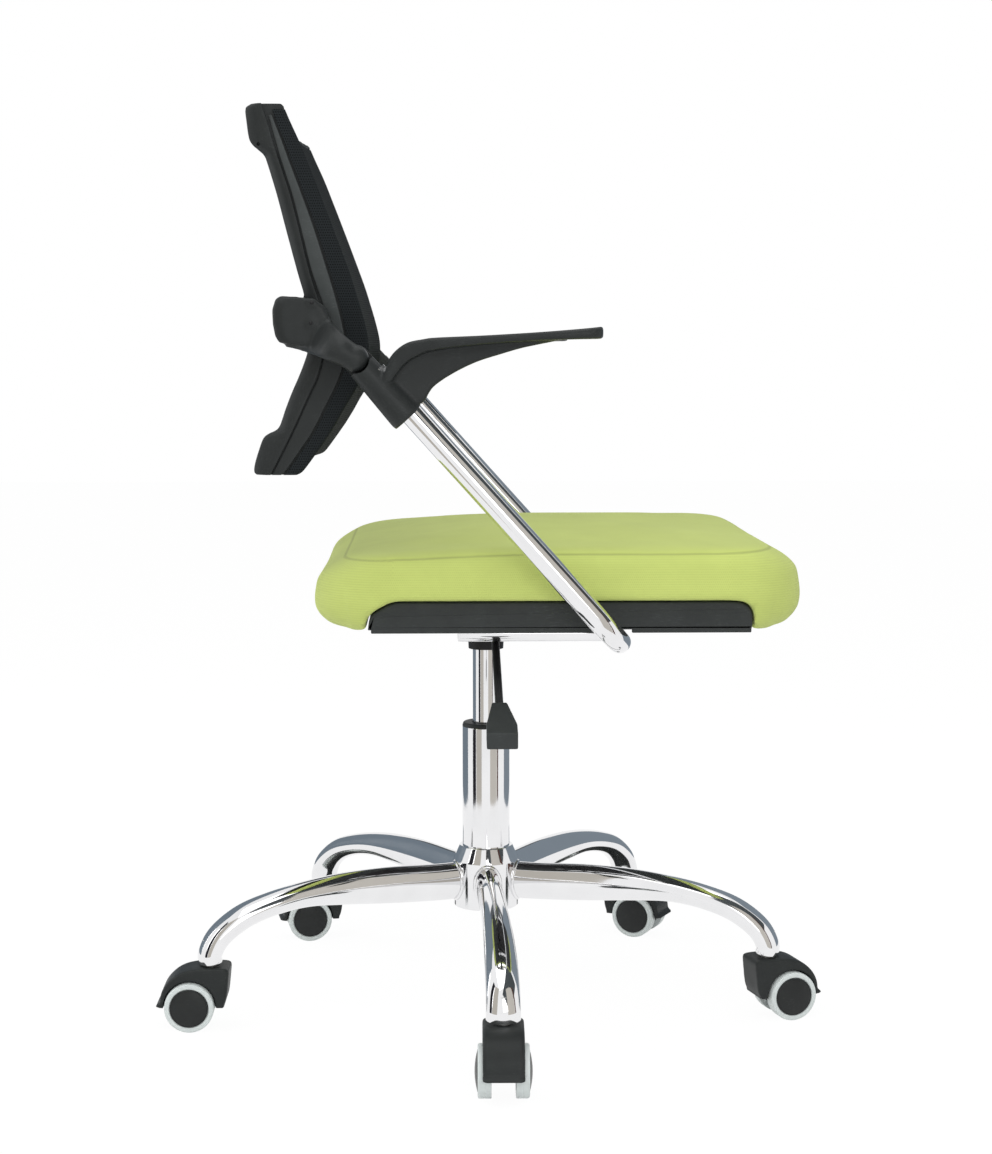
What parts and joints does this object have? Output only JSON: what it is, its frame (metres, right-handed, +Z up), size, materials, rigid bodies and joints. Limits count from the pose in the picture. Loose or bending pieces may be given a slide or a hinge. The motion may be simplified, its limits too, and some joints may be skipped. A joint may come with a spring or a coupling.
{
  "type": "task chair",
  "caption": "Task chair with a sprung reclining mesh back, cantilever tube arms, green cushion, gas lift column and a chromed star base on twin-wheel casters.",
  "frame": {"origin": "on the floor, on the axis of the gas lift column", "axes": "+X towards the front of the seat, +Y to the sitter's left, +Z up"},
  "size_m": [0.6736, 0.6401, 0.912],
  "materials": {
    "chrome": "polished chrome plate",
    "bright_steel": "zinc plated",
    "black_nylon": "fine grained",
    "black_steel": "satin black paint",
    "dark_shell": "grained moulding",
    "plywood": "raw plywood",
    "seat_fabric": "woven mesh cloth over foam",
    "black_moulding": "satin moulding",
    "back_mesh_cloth": "stretched mesh",
    "pale_tyre": "smooth polyurethane",
    "wheel_black": "semi-gloss"
  },
  "bodies": {
    "base": {"base_hub": "chrome", "base_leg_1": "chrome", "base_leg_2": "chrome", "base_leg_3": "chrome", "base_leg_4": "chrome", "base_leg_5": "chrome", "leg_sockets": "bright_steel", "caster_stems": "bright_steel", "column_tube": "chrome", "guide_bush": "black_nylon"},
    "spring_rod": {"piston_rod": "bright_steel", "thrust_bearing": "bright_steel"},
    "seat": {"pressure_tube": "chrome", "seat_plate": "black_steel", "seat_rails": "chrome", "frame_tube": "chrome", "seat_screws": "bright_steel", "seat_shell": "dark_shell", "seat_board": "plywood", "seat_cushion": "seat_fabric", "armrest_left": "black_moulding", "armrest_right": "black_moulding", "pivot_pins": "bright_steel"},
    "back": {"back_yoke": "black_moulding", "back_frame": "black_moulding", "back_mesh": "back_mesh_cloth", "back_screws": "bright_steel"},
    "lever": {"lever_rod": "black_steel", "lever_paddle": "black_nylon"},
    "release": {"release_pin": "bright_steel"},
    "caster_1": {"caster_1_hood": "black_nylon", "caster_1_axle": "bright_steel"},
    "caster_1_wheel_left": {"caster_1_tyre_left": "pale_tyre", "caster_1_core_left": "wheel_black"},
    "caster_1_wheel_right": {"caster_1_tyre_right": "pale_tyre", "caster_1_core_right": "wheel_black"},
    "caster_2": {"caster_2_hood": "black_nylon", "caster_2_axle": "bright_steel"},
    "caster_2_wheel_left": {"caster_2_tyre_left": "pale_tyre", "caster_2_core_left": "wheel_black"},
    "caster_2_wheel_right": {"caster_2_tyre_right": "pale_tyre", "caster_2_core_right": "wheel_black"},
    "caster_3": {"caster_3_hood": "black_nylon", "caster_3_axle": "bright_steel"},
    "caster_3_wheel_left": {"caster_3_tyre_left": "pale_tyre", "caster_3_core_left": "wheel_black"},
    "caster_3_wheel_right": {"caster_3_tyre_right": "pale_tyre", "caster_3_core_right": "wheel_black"},
    "caster_4": {"caster_4_hood": "black_nylon", "caster_4_axle": "bright_steel"},
    "caster_4_wheel_left": {"caster_4_tyre_left": "pale_tyre", "caster_4_core_left": "wheel_black"},
    "caster_4_wheel_right": {"caster_4_tyre_right": "pale_tyre", "caster_4_core_right": "wheel_black"},
    "caster_5": {"caster_5_hood": "black_nylon", "caster_5_axle": "bright_steel"},
    "caster_5_wheel_left": {"caster_5_tyre_left": "pale_tyre", "caster_5_core_left": "wheel_black"},
    "caster_5_wheel_right": {"caster_5_tyre_right": "pale_tyre", "caster_5_core_right": "wheel_black"}
  },
  "joints": [
    {"name": "seat_swivel", "type": "hinge", "parent": "base", "child": "spring_rod", "pos_m": [0, 0, 0.2], "axis": [0, 0, 1], "continuous": true},
    {"name": "seat_lift", "type": "slide", "parent": "spring_rod", "child": "seat", "axis": [0, 0, 1], "range_m": [-0.075, 0]},
    {"name": "back_recline", "type": "hinge", "parent": "seat", "child": "back", "pos_m": [-0.12561, 0, 0.67677], "axis": [0, -1, 0], "range_deg": [0, 36], "stiffness_Nm_per_rad": 12, "springref_deg": -20.05},
    {"name": "height_lever", "type": "hinge", "parent": "seat", "child": "lever", "pos_m": [0.0075, -0.032, 0.41104], "axis": [-1, 0, 0], "range_deg": [0, 6]},
    {"name": "release_travel", "type": "slide", "parent": "seat", "child": "release", "axis": [0, 0, 1], "range_m": [-0.0036, 0]},
    {"name": "caster_1_swivel", "type": "hinge", "parent": "base", "child": "caster_1", "pos_m": [0.00916, -0.29986, 0.06], "axis": [0, 0, 1], "continuous": true},
    {"name": "caster_1_roll_left", "type": "hinge", "parent": "caster_1", "child": "caster_1_wheel_left", "pos_m": [0.00881, -0.31986, 0.025], "axis": [0.9998, -0.0175, 0], "continuous": true},
    {"name": "caster_1_roll_right", "type": "hinge", "parent": "caster_1", "child": "caster_1_wheel_right", "pos_m": [0.00881, -0.31986, 0.025], "axis": [0.9998, -0.0175, 0], "continuous": true},
    {"name": "caster_2_swivel", "type": "hinge", "parent": "base", "child": "caster_2", "pos_m": [0.28801, -0.08395, 0.06], "axis": [0, 0, 1], "continuous": true},
    {"name": "caster_2_roll_left", "type": "hinge", "parent": "caster_2", "child": "caster_2_wheel_left", "pos_m": [0.30724, -0.07844, 0.025], "axis": [-0.2756, 0.9613, 0], "continuous": true},
    {"name": "caster_2_roll_right", "type": "hinge", "parent": "caster_2", "child": "caster_2_wheel_right", "pos_m": [0.30724, -0.07844, 0.025], "axis": [-0.2756, 0.9613, 0], "continuous": true},
    {"name": "caster_3_swivel", "type": "hinge", "parent": "base", "child": "caster_3", "pos_m": [0.16884, 0.24798, 0.06], "axis": [0, 0, 1], "continuous": true},
    {"name": "caster_3_roll_left", "type": "hinge", "parent": "caster_3", "child": "caster_3_wheel_left", "pos_m": [0.1865, 0.23859, 0.025], "axis": [0.4695, 0.8829, 0], "continuous": true},
    {"name": "caster_3_roll_right", "type": "hinge", "parent": "caster_3", "child": "caster_3_wheel_right", "pos_m": [0.1865, 0.23859, 0.025], "axis": [0.4695, 0.8829, 0], "continuous": true},
    {"name": "caster_4_swivel", "type": "hinge", "parent": "base", "child": "caster_4", "pos_m": [-0.18367, 0.23721, 0.06], "axis": [0, 0, 1], "continuous": true},
    {"name": "caster_4_roll_left", "type": "hinge", "parent": "caster_4", "child": "caster_4_wheel_left", "pos_m": [-0.20336, 0.23373, 0.025], "axis": [0.1736, -0.9848, 0], "continuous": true},
    {"name": "caster_4_roll_right", "type": "hinge", "parent": "caster_4", "child": "caster_4_wheel_right", "pos_m": [-0.20336, 0.23373, 0.025], "axis": [0.1736, -0.9848, 0], "continuous": true},
    {"name": "caster_5_swivel", "type": "hinge", "parent": "base", "child": "caster_5", "pos_m": [-0.28235, -0.10138, 0.06], "axis": [0, 0, 1], "continuous": true},
    {"name": "caster_5_roll_left", "type": "hinge", "parent": "caster_5", "child": "caster_5_wheel_left", "pos_m": [-0.30235, -0.10138, 0.025], "axis": [0, -1, 0], "continuous": true},
    {"name": "caster_5_roll_right", "type": "hinge", "parent": "caster_5", "child": "caster_5_wheel_right", "pos_m": [-0.30235, -0.10138, 0.025], "axis": [0, -1, 0], "continuous": true}
  ],
  "couplings": [
    {"joint": "release_travel", "follows": "height_lever", "m_per_rad": -0.032}
  ]
}
